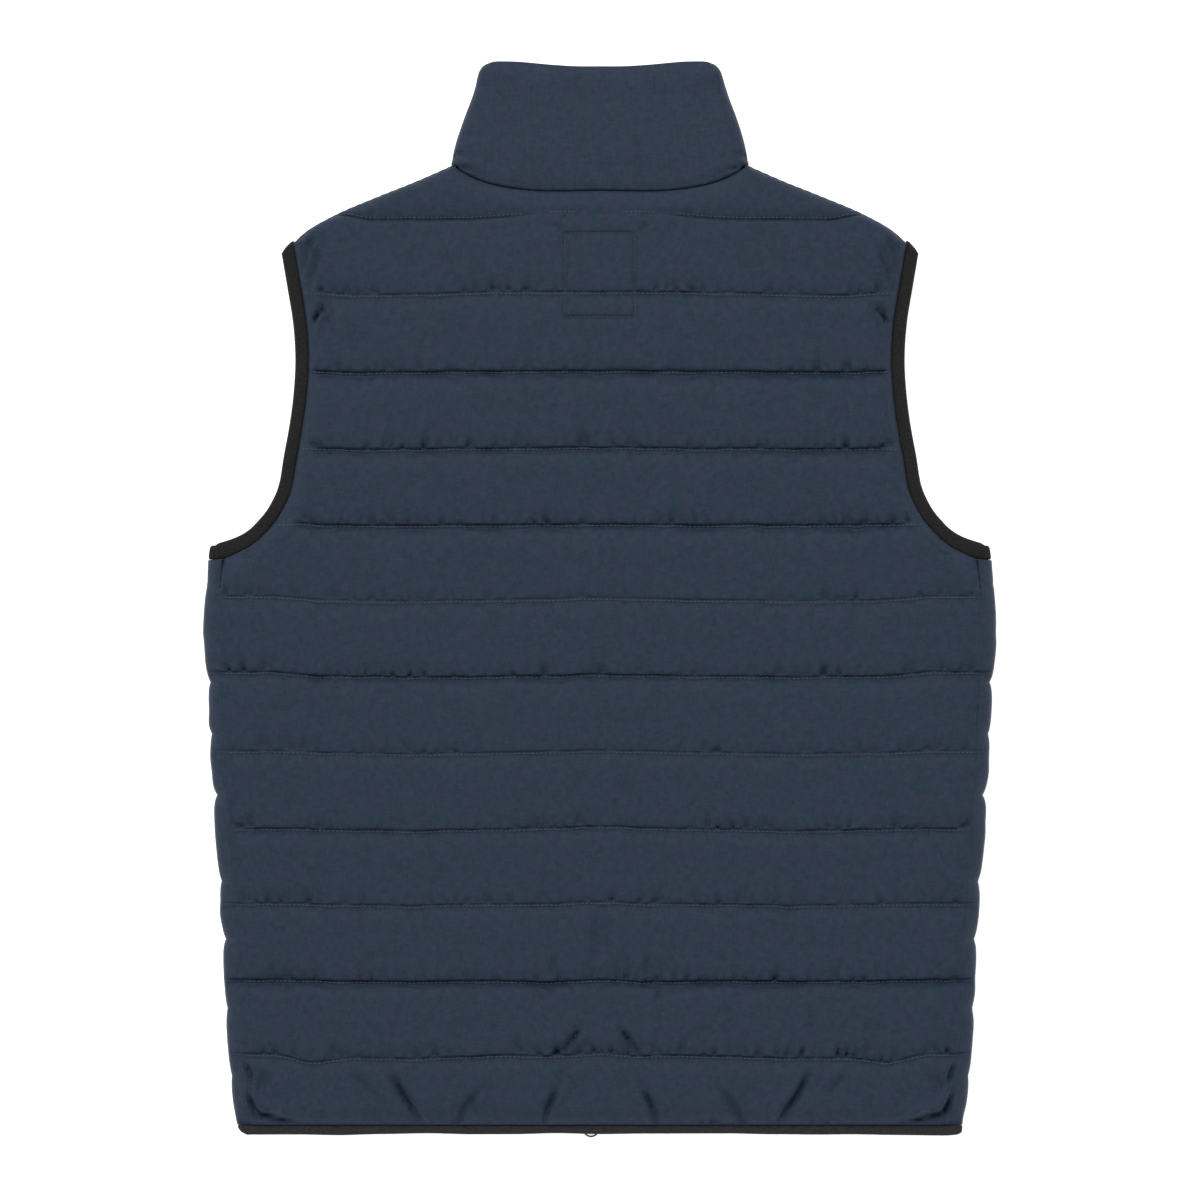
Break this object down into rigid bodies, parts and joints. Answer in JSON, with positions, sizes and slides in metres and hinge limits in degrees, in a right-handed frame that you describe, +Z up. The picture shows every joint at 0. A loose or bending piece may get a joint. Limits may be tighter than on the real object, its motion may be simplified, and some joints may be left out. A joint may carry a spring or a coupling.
{
  "type": "quilted vest",
  "caption": "Padded sleeveless vest with a stand collar, channel quilting, knitted bindings and a two-way front zip, zipped up and laid flat on its front.",
  "frame": {"origin": "on the surface that the vest lies on, under the middle of its box", "axes": "+Z up from the surface, through fronts, zip and back; +Y along the vest from its hem to its collar; +X across it, to the right as the back is seen from above"},
  "size_m": [0.5556, 0.7546, 0.025],
  "materials": {
    "shell_cloth": "matt dark navy, fine plain-woven nylon with a faint sheen",
    "binding_knit": "matt near-black knitted elastic tape",
    "zip_tape_cloth": "matt near-black woven tape",
    "zip_teeth": "satin black moulded plastic",
    "dark_metal": "dark gunmetal, satin"
  },
  "bodies": {
    "vest": {"back_panel": "shell_cloth", "front_left": "shell_cloth", "front_right": "shell_cloth", "collar": "shell_cloth", "armhole_binding_left": "binding_knit", "armhole_binding_right": "binding_knit", "hem_binding": "binding_knit", "zip_tape_left": "zip_tape_cloth", "zip_tape_right": "zip_tape_cloth", "zip_chain": "zip_teeth", "slider_lower": "dark_metal", "slider_upper": "dark_metal"},
    "lower_pull": {"pull_lower": "dark_metal"},
    "upper_pull": {"pull_upper": "dark_metal"}
  },
  "joints": [
    {"name": "lower_pull_swing", "type": "hinge", "parent": "vest", "child": "lower_pull", "pos_m": [-0.0063, -0.36145, 0.0039], "axis": [1, 0, 0], "range_deg": [-14, 165]},
    {"name": "upper_pull_swing", "type": "hinge", "parent": "vest", "child": "upper_pull", "pos_m": [-0.0063, 0.306, 0.0039], "axis": [1, 0, 0], "range_deg": [-14, 165]}
  ]
}
